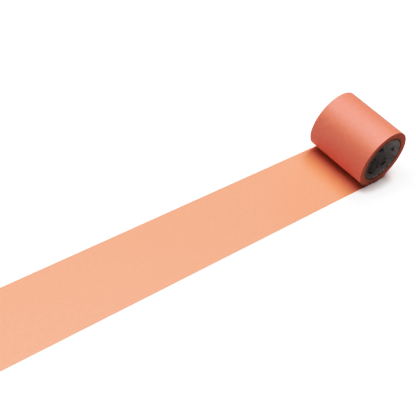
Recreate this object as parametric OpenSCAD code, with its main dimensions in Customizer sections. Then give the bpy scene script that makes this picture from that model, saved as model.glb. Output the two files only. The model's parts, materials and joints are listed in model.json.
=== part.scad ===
// Roll of wide paper tape on a spiral-wound board core, lying on its side with a
// length of tape drawn off along the surface under it.
//
// Frame: the origin is the middle of the core's bore. +Y runs along the bore, +Z is
// up, and the tape leaves the bottom of the roll towards -X. The adhesive faces the
// core, so it is on top of the laid tape.
//
// The tape is one strip from its free end to the core. Its outermost lap is a
// two-centre spiral: the half on the +X side is struck about the bore's axis, and the
// half on the -X side about a centre half a tape thickness higher, so that after one
// turn the lap lies one thickness further in.

/* [Tape] */
// Width of the tape and length of the core
tape_w = 50; // [15:5:100]
// Thickness of the paper backing
backing_t = 0.05; // [0.04:0.01:0.10]
// Thickness of the adhesive layer
adhesive_t = 0.03; // [0.02:0.01:0.05]

/* [Laid length] */
// Length laid out, from the free end to the line under the roll's axis
laid_len = 335; // [60:5:600]
// Length under the roll's overhang, which travels with it
nip_len = 24; // [24:1:40]

/* [Roll] */
// Diameter over the outermost lap
roll_d = 46; // [42:1:48]

/* [Core] */
// Diameter of the bore
bore_d = 33; // [25:0.5:36]
// Thickness of the printed liner in the bore
liner_t = 0.15; // [0.10:0.05:0.30]
// Thickness of one board ply
ply_t = 0.45; // [0.30:0.05:0.60]

/* [Hidden] */
$fn = 180;

tape_t = backing_t + adhesive_t;
roll_r = roll_d / 2;
bore_r = bore_d / 2;
board_r = bore_r + liner_t;      // inside of the innermost board ply
core_r = board_r + 3 * ply_t;    // outside of the core, where the tape starts
half_rise = tape_t / 2;          // height of the -X half's centre over the bore's axis
floor_z = -roll_r;               // underside of the laid tape

backing_colour = [0.93, 0.53, 0.40];
adhesive_colour = [0.96, 0.72, 0.58];
board_colour = [0.42, 0.36, 0.31];
liner_colour = [0.27, 0.25, 0.26];

// Extrudes a profile drawn in X and Z over the width of the tape.
module over_width() {
    rotate([90, 0, 0])
        linear_extrude(height = tape_w, center = true)
            children();
}

// Ring of the given outer radius and wall, about the bore's axis.
module ring(r, wall) {
    over_width()
        difference() {
            circle(r);
            circle(r - wall);
        }
}

// The part of a profile on one side of X = 0; side is 1 or -1.
module half(side) {
    span = 4 * roll_r;
    intersection() {
        children();
        translate([side > 0 ? 0 : -span, -span / 2])
            square([span, span]);
    }
}

// Disc whose edge follows the spiral, one given depth below the roll's surface.
module spiral_disc(depth) {
    half(1)
        circle(roll_r - depth);
    half(-1)
        translate([0, half_rise])
            circle(roll_r - half_rise - depth);
}

// One layer of the outermost lap, between two depths below the roll's surface.
module lap_layer(from, to) {
    over_width() {
        half(1)
            difference() {
                circle(roll_r - from);
                circle(roll_r - to);
            }
        half(-1)
            translate([0, half_rise])
                difference() {
                    circle(roll_r - half_rise - from);
                    circle(roll_r - half_rise - to);
                }
    }
}

// One layer of flat tape between two places along X, a given height off the floor.
module flat_layer(x_from, x_to, height, thickness) {
    translate([x_from, -tape_w / 2, floor_z + height])
        cube([x_to - x_from, tape_w, thickness]);
}

// Printed paper liner, the wall of the bore.
module core_liner() {
    color(liner_colour)
        ring(board_r, liner_t);
}

// Board ply, counted from 1 at the bore outwards.
module core_ply(number) {
    color(board_colour)
        ring(board_r + number * ply_t, ply_t);
}

// All the turns under the outermost lap, packed solid on the core.
module wound_tape() {
    color(backing_colour)
        over_width()
            difference() {
                spiral_disc(tape_t);
                circle(core_r);
            }
}

// Paper of the outermost lap, facing outwards.
module lap_backing() {
    color(backing_colour)
        lap_layer(0, backing_t);
}

// Adhesive of the outermost lap, facing the core.
module lap_adhesive() {
    color(adhesive_colour)
        lap_layer(backing_t, tape_t);
}

// Paper of the length under the roll's overhang.
module nip_backing() {
    color(backing_colour)
        flat_layer(-nip_len, 0, 0, backing_t);
}

// Adhesive on that length.
module nip_adhesive() {
    color(adhesive_colour)
        flat_layer(-nip_len, 0, backing_t, adhesive_t);
}

// Paper of the laid tape, face down.
module strip_backing() {
    color(backing_colour)
        flat_layer(-laid_len, -nip_len, 0, backing_t);
}

// Adhesive on the laid tape, face up.
module strip_adhesive() {
    color(adhesive_colour)
        flat_layer(-laid_len, -nip_len, backing_t, adhesive_t);
}

core_liner();
core_ply(1);  // core_ply_inner
core_ply(2);  // core_ply_middle
core_ply(3);  // core_ply_outer
wound_tape();
lap_backing();
lap_adhesive();
nip_backing();
nip_adhesive();
strip_backing();
strip_adhesive();
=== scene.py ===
"""A wide roll of peach paper tape on a board core, with a strip drawn off flat to the left.

The CAD frame gives every size and place. Its plain solids are replaced here by finished
meshes: the wound turns with their real spiral edges, the outermost lap, the core's plies
and printed liner, and one continuous strip that shortens as the roll travels over it.
"""

import json
import math
import random

import bmesh
import bpy
from mathutils import Matrix, Vector, noise


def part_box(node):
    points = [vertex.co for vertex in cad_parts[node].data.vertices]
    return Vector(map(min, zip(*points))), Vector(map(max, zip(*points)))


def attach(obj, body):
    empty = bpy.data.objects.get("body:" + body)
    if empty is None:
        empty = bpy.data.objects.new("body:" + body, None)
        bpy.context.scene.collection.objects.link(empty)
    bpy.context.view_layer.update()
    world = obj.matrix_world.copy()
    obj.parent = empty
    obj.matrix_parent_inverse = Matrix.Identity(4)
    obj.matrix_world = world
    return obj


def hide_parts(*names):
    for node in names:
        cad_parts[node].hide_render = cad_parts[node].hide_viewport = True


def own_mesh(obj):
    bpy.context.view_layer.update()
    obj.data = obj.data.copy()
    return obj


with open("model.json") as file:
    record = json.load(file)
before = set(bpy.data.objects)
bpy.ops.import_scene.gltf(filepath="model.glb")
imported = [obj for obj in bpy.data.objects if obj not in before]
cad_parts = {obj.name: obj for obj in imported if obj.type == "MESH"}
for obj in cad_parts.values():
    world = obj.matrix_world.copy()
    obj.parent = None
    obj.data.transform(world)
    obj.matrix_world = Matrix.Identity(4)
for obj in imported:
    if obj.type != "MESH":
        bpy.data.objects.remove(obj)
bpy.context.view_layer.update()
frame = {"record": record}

MM = 0.001
TURN = 2 * math.pi


# ---------------------------------------------------------------- sizes from the frame


def outer_radius(node):
    """Radius of a round CAD node about the roll's axis."""
    low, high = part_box(node)
    return max(high.x, high.z, -low.x, -low.z)


def mount(name):
    """One of the record's mounts."""
    return next(m for m in frame["record"]["mounts"] if m["name"] == name)


STRIP_LOW, STRIP_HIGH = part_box("strip_backing")
ADHESIVE_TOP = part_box("strip_adhesive")[1].z
FLOOR_Z = STRIP_LOW.z
FREE_END_X = STRIP_LOW.x
HALF_WIDTH = STRIP_HIGH.y
TAPE_T = ADHESIVE_TOP - FLOOR_Z
ROLL_R = -FLOOR_Z
BORE_R = mount("core_bore")["dims"]["r_mm"] * MM
PLIES = ("inner", "middle", "outer")
PLY_RADII = [outer_radius("core_liner")] + [outer_radius("core_ply_" + ply) for ply in PLIES]
BOARD_R = PLY_RADII[0]
CORE_R = PLY_RADII[-1]

# The finished lap and strip stop this far inside the CAD width at each edge.
TAPE_EDGE_GAP = 0.03 * MM


# ---------------------------------------------------------------- mesh helpers


def finish_mesh(name, bm, material, smooth=True, sharp_deg=35):
    """Turns a bmesh into an object with outward faces and one material."""
    bmesh.ops.recalc_face_normals(bm, faces=bm.faces)
    mesh = bpy.data.meshes.new(name)
    bm.to_mesh(mesh)
    bm.free()
    mesh.materials.append(material)
    if smooth:
        mesh.shade_smooth()
        mesh.set_sharp_from_angle(angle=math.radians(sharp_deg))
    piece = bpy.data.objects.new(name, mesh)
    bpy.context.scene.collection.objects.link(piece)
    return piece


def on_roll(radius, turned, y):
    """A point on the roll. turned is counted from the bottom, through +X and the top."""
    return Vector((radius * math.sin(turned), y, -radius * math.cos(turned)))


def ring_spot(turned, reach, along=0.0):
    """A place to read noise at, on a circle, so that the noise meets itself after one turn."""
    return Vector((math.cos(turned) * reach, math.sin(turned) * reach, along))


def bridge(bm, row_a, row_b, closed=True):
    """Quads between two rows of vertices of the same length."""
    last = len(row_a) if closed else len(row_a) - 1
    for i in range(last):
        j = (i + 1) % len(row_a)
        bm.faces.new((row_a[i], row_a[j], row_b[j], row_b[i]))


def close_band(bm, face, back):
    """Faces of a thin band between two grids of vertices, with its long edges and its ends."""
    for j in range(len(face) - 1):
        bridge(bm, face[j], face[j + 1], closed=False)
        bridge(bm, back[j], back[j + 1], closed=False)
        for edge in (0, -1):
            bm.faces.new((face[j][edge], face[j + 1][edge], back[j + 1][edge], back[j][edge]))
    for end in (0, -1):
        bridge(bm, face[end], back[end], closed=False)


# ---------------------------------------------------------------- material helpers


def feed(tree, source, target):
    """Links a socket to an input, or sets the input to a plain number."""
    if isinstance(source, bpy.types.NodeSocket):
        tree.links.new(source, target)
    else:
        target.default_value = source


def map_range(tree, value, from_range, to_range, curve="LINEAR"):
    """Maps a socket from one range to another. Ends of the ranges may be sockets too."""
    node = tree.nodes.new("ShaderNodeMapRange")
    node.interpolation_type = curve
    sources = {
        "Value": value,
        "From Min": from_range[0],
        "From Max": from_range[1],
        "To Min": to_range[0],
        "To Max": to_range[1],
    }
    for name, source in sources.items():
        feed(tree, source, node.inputs[name])
    return node.outputs["Result"]


class Look:
    """One procedural material on the Principled shader, in millimetres of the object's frame."""

    def __init__(self, name, roughness, specular):
        self.material = bpy.data.materials.new(name)
        self.material.use_nodes = True
        self.tree = self.material.node_tree
        self.shader = self.tree.nodes["Principled BSDF"]
        self.shader.inputs["Roughness"].default_value = roughness
        self.shader.inputs["Specular IOR Level"].default_value = specular
        coords = self.tree.nodes.new("ShaderNodeTexCoord").outputs["Object"]
        to_mm = self.tree.nodes.new("ShaderNodeVectorMath")
        to_mm.operation = "SCALE"
        to_mm.inputs["Scale"].default_value = 1 / MM
        self.link(coords, to_mm.inputs[0])
        self.place = to_mm.outputs[0]

    def link(self, source, target):
        self.tree.links.new(source, target)

    def axes(self):
        """The place as three sockets, x, y and z."""
        node = self.tree.nodes.new("ShaderNodeSeparateXYZ")
        self.link(self.place, node.inputs[0])
        return tuple(node.outputs)

    def math(self, operation, a, b=0.0):
        """One Math node on sockets or numbers; b is left out where it takes only one."""
        node = self.tree.nodes.new("ShaderNodeMath")
        node.operation = operation
        feed(self.tree, a, node.inputs[0])
        feed(self.tree, b, node.inputs[1])
        return node.outputs[0]

    def noise(self, per_mm, detail, distortion=0.0):
        """Noise from 0 to 1, with about per_mm blobs to the millimetre."""
        node = self.tree.nodes.new("ShaderNodeTexNoise")
        node.inputs["Scale"].default_value = per_mm
        node.inputs["Detail"].default_value = detail
        node.inputs["Distortion"].default_value = distortion
        self.link(self.place, node.inputs["Vector"])
        return node.outputs["Fac"]

    def spread(self, value, low, high, to_low=0.0, to_high=1.0):
        """Maps low..high smoothly to to_low..to_high."""
        return map_range(self.tree, value, (low, high), (to_low, to_high), "SMOOTHSTEP")

    def mix(self, share, a, b):
        """Colour a where share is 0 and b where it is 1."""
        node = self.tree.nodes.new("ShaderNodeMix")
        node.data_type = "RGBA"
        feed(self.tree, share, node.inputs["Factor"])
        # The node's colour sockets stand after those for numbers and vectors.
        colour_a, colour_b, mixed = node.inputs[6], node.inputs[7], node.outputs[2]
        for source, target in ((a, colour_a), (b, colour_b)):
            opaque = (*source, 1) if isinstance(source, tuple) else source
            feed(self.tree, opaque, target)
        return mixed

    def strands(self, per_mm, thickness):
        """Long thin curving lines, as of fibres: 1 on a line, 0 away from it."""
        from_middle = self.math("SUBTRACT", self.noise(per_mm, 1.0, distortion=0.6), 0.5)
        return self.spread(self.math("ABSOLUTE", from_middle), 0.0, thickness, 1.0, 0.0)

    def colour(self, source):
        self.link(source, self.shader.inputs["Base Color"])

    def roughness(self, source):
        self.link(source, self.shader.inputs["Roughness"])

    def bump(self, height, depth_mm):
        node = self.tree.nodes.new("ShaderNodeBump")
        node.inputs["Distance"].default_value = depth_mm * MM
        self.link(height, node.inputs["Height"])
        self.link(node.outputs["Normal"], self.shader.inputs["Normal"])


# ---------------------------------------------------------------- materials


def paper_look(name, body, pale, deep, roughness, ior):
    """Thin smooth paper with faint long fibres and cloudy formation."""
    look = Look(name, roughness, specular=1.0)
    look.shader.inputs["IOR"].default_value = ior
    cloud = look.spread(look.noise(0.35, 3.0), 0.3, 0.7)
    fibres = look.math("MAXIMUM", look.strands(0.45, 0.012), look.strands(0.8, 0.014))
    tone = look.mix(cloud, deep, body)
    look.colour(look.mix(look.math("MULTIPLY", fibres, 0.35), tone, pale))
    grain = look.noise(9.0, 3.0)
    look.roughness(look.spread(grain, 0.25, 0.75, roughness - 0.05, roughness + 0.06))
    height = look.math("ADD", look.math("MULTIPLY", fibres, 0.6), grain)
    look.bump(height, 0.006)
    return look.material


def edge_look():
    """The tape's edges seen from the roll's end: bands of turns, dust, and shade by the core."""
    look = Look("tape_edges", 0.7, specular=0.12)
    x, _, z = look.axes()
    square = look.math("ADD", look.math("POWER", x, 2.0), look.math("POWER", z, 2.0))
    radius = look.math("SQRT", square)
    band_noise = look.tree.nodes.new("ShaderNodeTexNoise")
    band_noise.noise_dimensions = "1D"
    band_noise.inputs["Scale"].default_value = 0.55
    band_noise.inputs["Detail"].default_value = 3.0
    look.link(look.math("DIVIDE", radius, TAPE_T / MM), band_noise.inputs["W"])
    bands = look.spread(band_noise.outputs["Fac"], 0.3, 0.7)
    tone = look.mix(bands, (0.44, 0.086, 0.040), (0.73, 0.187, 0.094))
    dust = look.spread(look.noise(1.6, 4.0), 0.5, 0.8, 0.0, 0.35)
    dusty = look.mix(dust, tone, (0.68, 0.26, 0.16))
    near_core = look.spread(radius, CORE_R / MM, 0.9 * ROLL_R / MM, 0.25, 0.0)
    look.colour(look.mix(near_core, dusty, (0.12, 0.04, 0.025)))
    look.bump(look.noise(7.0, 2.0), 0.01)
    return look.material


def board_look():
    """Brown chip board with short paler fibres."""
    look = Look("core_board", 0.85, specular=0.12)
    blotch = look.spread(look.noise(1.5, 4.0), 0.3, 0.7)
    tone = look.mix(blotch, (0.105, 0.043, 0.020), (0.21, 0.084, 0.039))
    flecks = look.math("MULTIPLY", look.strands(2.2, 0.03), 0.4)
    look.colour(look.mix(flecks, tone, (0.30, 0.17, 0.10)))
    look.bump(look.noise(5.0, 4.0), 0.03)
    return look.material


def liner_look():
    """Dark printed paper in the bore, with rows of plain dashes and dots."""
    look = Look("core_liner_print", 0.5, specular=0.4)
    x, y, z = look.axes()
    along_print = look.math("MULTIPLY", look.math("ARCTAN2", x, z), BORE_R / MM)
    first_row = 2.0
    across_print = look.math("ADD", y, first_row)
    soft_edge = 0.1

    def marks(cell_l, cell_w, shift, length, width):
        """One bar in each cell of a grid over the liner; 1 on the bar."""
        row_place = look.math("DIVIDE", across_print, cell_w)
        row = look.math("FLOOR", row_place)
        slid = look.math("ADD", along_print, look.math("MULTIPLY", row, shift))
        cell_place = look.math("DIVIDE", slid, cell_l)

        def bar(place, cell, size):
            """1 within size of the middle of each cell, along one direction."""
            off_middle = look.math("SUBTRACT", look.math("FRACT", place), 0.5)
            off_mm = look.math("ABSOLUTE", look.math("MULTIPLY", off_middle, cell))
            return look.spread(off_mm, size / 2 - soft_edge, size / 2 + soft_edge, 1.0, 0.0)

        in_length = bar(cell_place, cell_l, length)
        in_width = bar(row_place, cell_w, width)
        return look.math("MULTIPLY", in_length, in_width)

    girth = TURN * BORE_R / MM
    dashes = marks(girth / 8, 7.5, girth / 16, 3.6, 1.3)
    dots = marks(girth / 12, 5.0, girth / 30, 1.2, 1.1)
    ink = look.math("MAXIMUM", dashes, dots)
    worn = look.spread(look.noise(1.2, 3.0), 0.25, 0.6, 0.55, 1.0)
    cloud = look.spread(look.noise(0.5, 4.0), 0.3, 0.7)
    paper = look.mix(cloud, (0.37, 0.33, 0.32), (0.56, 0.49, 0.48))
    look.colour(look.mix(look.math("MULTIPLY", ink, worn), paper, (0.050, 0.040, 0.040)))
    look.bump(look.noise(6.0, 3.0), 0.01)
    return look.material


ROLL_PAPER = paper_look(
    "roll_paper",
    body=(0.79, 0.225, 0.145),
    pale=(0.83, 0.295, 0.205),
    deep=(0.77, 0.203, 0.128),
    roughness=0.6,
    ior=1.52,
)
STRIP_PAPER = paper_look(
    "strip_paper",
    body=(0.89, 0.345, 0.191),
    pale=(0.92, 0.405, 0.246),
    deep=(0.88, 0.33, 0.181),
    roughness=0.5,
    ior=1.5,
)
TAPE_EDGES = edge_look()
CORE_BOARD = board_look()
LINER_PRINT = liner_look()


# ---------------------------------------------------------------- wound turns


def lap_offsets(count, seed, reach):
    """How far each turn's edge stands back from the roll's end: a bounded random walk."""
    chance = random.Random(seed)
    most_step = 0.22
    offsets = []
    level = 0.5
    for _ in range(count):
        level += chance.uniform(-most_step, most_step)
        level = min(1.0, max(0.0, level))
        offsets.append(level * reach)
    return offsets


def windings():
    """Every turn under the outermost lap, with the edges of the turns as a spiral on both ends."""
    segments = 160
    rows_per_turn = 2
    step = TAPE_T / rows_per_turn
    outer_r = ROLL_R - TAPE_T
    least_r = CORE_R + 0.002 * MM
    top_row = int((outer_r - CORE_R) / step)
    groove = 0.014 * MM
    most_stand_back = 0.10 * MM
    bm = bmesh.new()

    def end_face(side, seed):
        """The spiral edges on one end. Returns the core's circle and the rim, as vertices."""
        stand_back = lap_offsets(top_row // rows_per_turn + 2, seed, most_stand_back)

        def depth(row, turned):
            """Distance inside the roll's end at a place on the spiral."""
            turn = (row + rows_per_turn * (1 - turned / TURN)) / rows_per_turn
            low = min(int(turn), len(stand_back) - 2)
            share = turn - low
            base = stand_back[low] * (1 - share) + stand_back[low + 1] * share
            return base + (groove if row % rows_per_turn == 0 else 0)

        core_circle = []
        for j in range(segments):
            y = side * (HALF_WIDTH - groove - stand_back[0])
            core_circle.append(bm.verts.new(on_roll(CORE_R, TURN * j / segments, y)))
        rows = []
        for row in range(top_row + 1):
            line = []
            for j in range(segments):
                turned = TURN * j / segments
                r = outer_r - (top_row - row) * step - TAPE_T * turned / TURN
                y = side * (HALF_WIDTH - depth(row, turned))
                line.append(bm.verts.new(on_roll(max(r, least_r), turned, y)))
            rows.append(line)

        def at(row, j):
            """Vertex of a row; past one full turn a row goes on as the next one inwards."""
            if j == segments:
                row, j = row - rows_per_turn, 0
            return rows[row][j] if row >= 0 else core_circle[j]

        for row in range(-1, top_row):
            for j in range(segments):
                around = (at(row, j), at(row, j + 1), at(row + 1, j + 1), at(row + 1, j))
                corners = list(dict.fromkeys(around))
                if len(corners) > 2:
                    bm.faces.new(corners)
        rim = [at(top_row, j) for j in range(segments + 1)]
        rim += [rows[top_row - k][0] for k in range(rows_per_turn - 1, 0, -1)]
        return core_circle, rim

    near_core, near_rim = end_face(-1, 3)
    far_core, far_rim = end_face(1, 8)
    bridge(bm, near_core, far_core)
    bridge(bm, near_rim, far_rim)
    return finish_mesh("tape_windings", bm, TAPE_EDGES, sharp_deg=50)


def outer_lap():
    """The last turn of tape: one thickness, struck as a spiral, with softly uneven edges."""
    segments = 192
    across = 24
    edge_zone = 0.1
    edge_sink = 0.02 * MM
    most_wander = 0.025 * MM
    most_ripple = 0.012 * MM
    clear_of_seam = 0.001 * MM
    bm = bmesh.new()
    face = []
    back = []
    for j in range(segments + 1):
        turned = TURN * j / segments
        face_r = ROLL_R - TAPE_T * j / segments
        wander = most_wander * noise.noise(ring_spot(turned, 3))
        face_row = []
        back_row = []
        for i in range(across + 1):
            share = 2 * i / across - 1
            y = share * (HALF_WIDTH - TAPE_EDGE_GAP) + wander
            near_edge = max(0.0, abs(share) - (1 - edge_zone)) / edge_zone
            ripple = most_ripple * noise.noise(Vector((turned * 4, share * 5, 2.0)))
            sink = clear_of_seam + edge_sink * near_edge * near_edge + max(0.0, ripple)
            face_row.append(bm.verts.new(on_roll(face_r - sink, turned, y)))
            back_row.append(bm.verts.new(on_roll(face_r - TAPE_T, turned, y)))
        face.append(face_row)
        back.append(back_row)
    close_band(bm, face, back)
    return finish_mesh("outer_lap", bm, ROLL_PAPER, sharp_deg=40)


# ---------------------------------------------------------------- core


def ply_tube(name, inner_r, outer_r, seed):
    """One board ply: a tube with rounded, slightly ragged ends."""
    segments = 144
    end_gap = 0.05 * MM
    coarse = 0.06 * MM
    fine = 0.03 * MM
    chance = random.Random(seed)
    shift = Vector((chance.uniform(0, 50), chance.uniform(0, 50), 0))
    wall = outer_r - inner_r
    # The rounded end, as shares of the wall: place across it, and drop from the end.
    round_off = [(0.0, 0.28), (0.12, 0.08), (0.35, 0.0), (0.65, 0.0), (0.88, 0.08), (1.0, 0.28)]
    bm = bmesh.new()
    rings = []
    for side in (-1, 1):
        profile = round_off if side < 0 else list(reversed(round_off))
        for across, drop in profile:
            ring = []
            for j in range(segments):
                turned = TURN * j / segments
                spot = ring_spot(turned, 6, across * 2) + shift
                ragged = coarse * (0.5 + 0.5 * noise.noise(spot))
                ragged += fine * abs(noise.noise(spot * 5))
                y = side * (HALF_WIDTH - end_gap - ragged - drop * wall)
                ring.append(bm.verts.new(on_roll(inner_r + across * wall, turned, y)))
            rings.append(ring)
    for a, b in zip(rings, rings[1:] + rings[:1]):
        bridge(bm, a, b)
    return finish_mesh(name, bm, CORE_BOARD)


def liner():
    """The printed paper in the bore, with the fine helical gap where its edges meet."""
    columns = 120
    stations = 48
    end_gap = 0.02 * MM
    gap_half = 0.35 * MM
    gap_depth = 0.7 * (BOARD_R - BORE_R)
    helix = TURN / 2
    gap_angle = gap_half / BORE_R
    angles = [-gap_angle, -0.6 * gap_angle, 0.6 * gap_angle, gap_angle]
    angles += [gap_angle + (TURN - 2 * gap_angle) * k / columns for k in range(1, columns)]
    bm = bmesh.new()

    def ring(station, radius, depth):
        """Vertices round the liner at one station, with the gap sunk to depth."""
        y = (2 * station / stations - 1) * (HALF_WIDTH - end_gap)
        twist = helix * station / stations
        line = []
        for angle in angles:
            r = radius + (depth if abs(angle) < 0.9 * gap_angle else 0)
            line.append(bm.verts.new(on_roll(r, angle + twist, y)))
        return line

    rings = [ring(s, BORE_R, gap_depth) for s in range(stations + 1)]
    rings += [ring(s, BOARD_R, 0) for s in range(stations, -1, -1)]
    for a, b in zip(rings, rings[1:] + rings[:1]):
        bridge(bm, a, b)
    return finish_mesh("printed_liner", bm, LINER_PRINT)


# ---------------------------------------------------------------- laid strip


def strip():
    """The tape from its free end to the line where it turns up onto the roll."""
    along = 168
    across = 16
    short_of_lap = 0.25 * MM
    length = -FREE_END_X - short_of_lap
    most_lift = 0.10 * MM
    held_down = 25 * MM
    wave_mm = 38
    bm = bmesh.new()
    face = []
    back = []
    for i in range(along + 1):
        x = FREE_END_X + length * i / along
        settled = min(1.0, (x / held_down) ** 2)
        face_row = []
        back_row = []
        for k in range(across + 1):
            share = 2 * k / across - 1
            y = share * (HALF_WIDTH - TAPE_EDGE_GAP)
            wave = noise.noise(Vector((x / MM / wave_mm, share * 1.3, 4.0)))
            lift = most_lift * settled * max(0.0, wave)
            face_row.append(bm.verts.new((x, y, FLOOR_Z + TAPE_T + lift)))
            back_row.append(bm.verts.new((x, y, FLOOR_Z + lift)))
        face.append(face_row)
        back.append(back_row)
    close_band(bm, face, back)
    return finish_mesh("laid_strip", bm, STRIP_PAPER)


# ---------------------------------------------------------------- put together

roll_windings = windings()
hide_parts("wound_tape")
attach(roll_windings, "roll")

last_lap = outer_lap()
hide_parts("lap_backing", "lap_adhesive")
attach(last_lap, "roll")

for index, ply in enumerate(PLIES):
    tube = ply_tube("board_ply_" + ply, PLY_RADII[index], PLY_RADII[index + 1], seed=20 + index)
    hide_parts("core_ply_" + ply)
    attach(tube, "roll")

bore_liner = liner()
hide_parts("core_liner")
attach(bore_liner, "roll")

laid = strip()
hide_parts("strip_backing", "strip_adhesive", "nip_backing", "nip_adhesive")
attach(laid, "laid_tape")
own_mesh(laid)


# ---------------------------------------------------------------- floor, light, camera


def floor():
    """A wide pale floor at the height that the tape lies on.

    The camera sees it brighter than it is, and brighter still far out, so it stays white to
    its edge, as an overexposed studio table does. It lights the roll as plain pale board.
    """
    half = 1.1
    plain = 0.82
    seen_near = 1.3
    seen_far = 4.0
    brightens_over = (0.5, 1.0)
    bm = bmesh.new()
    ends = ((-half, -half), (half, -half), (half, half), (-half, half))
    bm.faces.new([bm.verts.new((x, y, FLOOR_Z)) for x, y in ends])
    material = bpy.data.materials.new("pale_floor")
    material.use_nodes = True
    tree = material.node_tree
    tree.nodes.remove(tree.nodes["Principled BSDF"])
    seen = tree.nodes.new("ShaderNodeLightPath").outputs["Is Camera Ray"]
    spot = tree.nodes.new("ShaderNodeTexCoord").outputs["Object"]
    from_roll = tree.nodes.new("ShaderNodeVectorMath")
    from_roll.operation = "LENGTH"
    tree.links.new(spot, from_roll.inputs[0])
    seen_white = map_range(tree, from_roll.outputs["Value"], brightens_over, (seen_near, seen_far))
    white = map_range(tree, seen, (0, 1), (plain, seen_white))
    diffuse = tree.nodes.new("ShaderNodeBsdfDiffuse")
    tree.links.new(white, diffuse.inputs["Color"])
    tree.links.new(diffuse.outputs["BSDF"], tree.nodes["Material Output"].inputs["Surface"])
    plane = finish_mesh("floor", bm, material, smooth=False)


def softbox(name, tilt, azimuth, watts):
    """A square area light, tilted from straight overhead towards azimuth: 0 is +Y, 90 is +X."""
    size = 0.85
    distance = 2.2
    aim = Vector((-0.12, 0, 0))
    t, a = math.radians(tilt), math.radians(azimuth)
    direction = Vector((math.sin(t) * math.sin(a), math.sin(t) * math.cos(a), math.cos(t)))
    lamp = bpy.data.lights.new(name, "AREA")
    lamp.shape = "SQUARE"
    lamp.size = size
    lamp.energy = watts
    lamp_object = bpy.data.objects.new(name, lamp)
    lamp_object.location = aim + distance * direction
    lamp_object.rotation_euler = direction.to_track_quat("Z", "Y").to_euler()
    bpy.context.scene.collection.objects.link(lamp_object)


def surroundings(strength, backdrop):
    """Even soft light from all round, with a white backdrop where the camera sees past the floor."""
    world = bpy.data.worlds.new("studio")
    world.use_nodes = True
    tree = world.node_tree
    background = tree.nodes["Background"]
    background.inputs["Color"].default_value = (1, 1, 1, 1)
    seen = tree.nodes.new("ShaderNodeLightPath").outputs["Is Camera Ray"]
    brightness = map_range(tree, seen, (0, 1), (strength, backdrop))
    tree.links.new(brightness, background.inputs["Strength"])
    bpy.context.scene.world = world


def camera(azimuth, elevation, roll, distance, look_at, lens):
    """Azimuth 0 looks along +Y and grows towards +X; roll turns the picture."""
    a, e, r = (math.radians(d) for d in (azimuth, elevation, roll))
    back = Vector((math.sin(a) * math.cos(e), -math.cos(a) * math.cos(e), math.sin(e)))
    right = (-back).cross(Vector((0, 0, 1))).normalized()
    up = right.cross(-back)
    turned_right = math.cos(r) * right + math.sin(r) * up
    turned_up = math.cos(r) * up - math.sin(r) * right
    place = Matrix((turned_right, turned_up, back)).transposed().to_4x4()
    place.translation = Vector(look_at) + back * distance
    data = bpy.data.cameras.new("camera")
    data.lens = lens
    data.sensor_width = 36
    data.clip_end = 20
    camera_object = bpy.data.objects.new("camera", data)
    camera_object.matrix_world = place
    bpy.context.scene.collection.objects.link(camera_object)
    bpy.context.scene.camera = camera_object


def film_curve(*points):
    """A camera's contrast curve, as (light in, light out) from dark to bright.

    It holds the deepest shade down a little, lifts the middle, and rolls bright tones off
    towards white at the last point.
    """
    settings = bpy.context.scene.view_settings
    settings.view_transform = "Standard"
    settings.use_curve_mapping = True
    mapping = settings.curve_mapping
    mapping.clip_max_x = points[-1][0]
    combined = mapping.curves[3]
    combined.points[1].location = points[-1]
    for light_in, light_out in points[:-1]:
        combined.points.new(light_in, light_out)
    mapping.update()


floor()
softbox("overhead", 0, 0, 12)
softbox("overhead_left", 20, 300, 20.5)
softbox("overhead_right", 20, 60, 15)
softbox("back_left", 45, 300, 3)
softbox("low_right", 70, 60, 2)
surroundings(strength=0.01, backdrop=1.5)
camera(
    azimuth=-54.742,
    elevation=41.028,
    roll=18.169,
    distance=0.687128,
    look_at=(-0.149522, 0, -0.000431),
    lens=94.233,
)
film_curve(
    (0.05, 0.04),
    (0.12, 0.10),
    (0.25, 0.30),
    (0.5, 0.60),
    (0.8, 0.90),
    (1.0, 0.945),
    (1.2, 1.0),
)
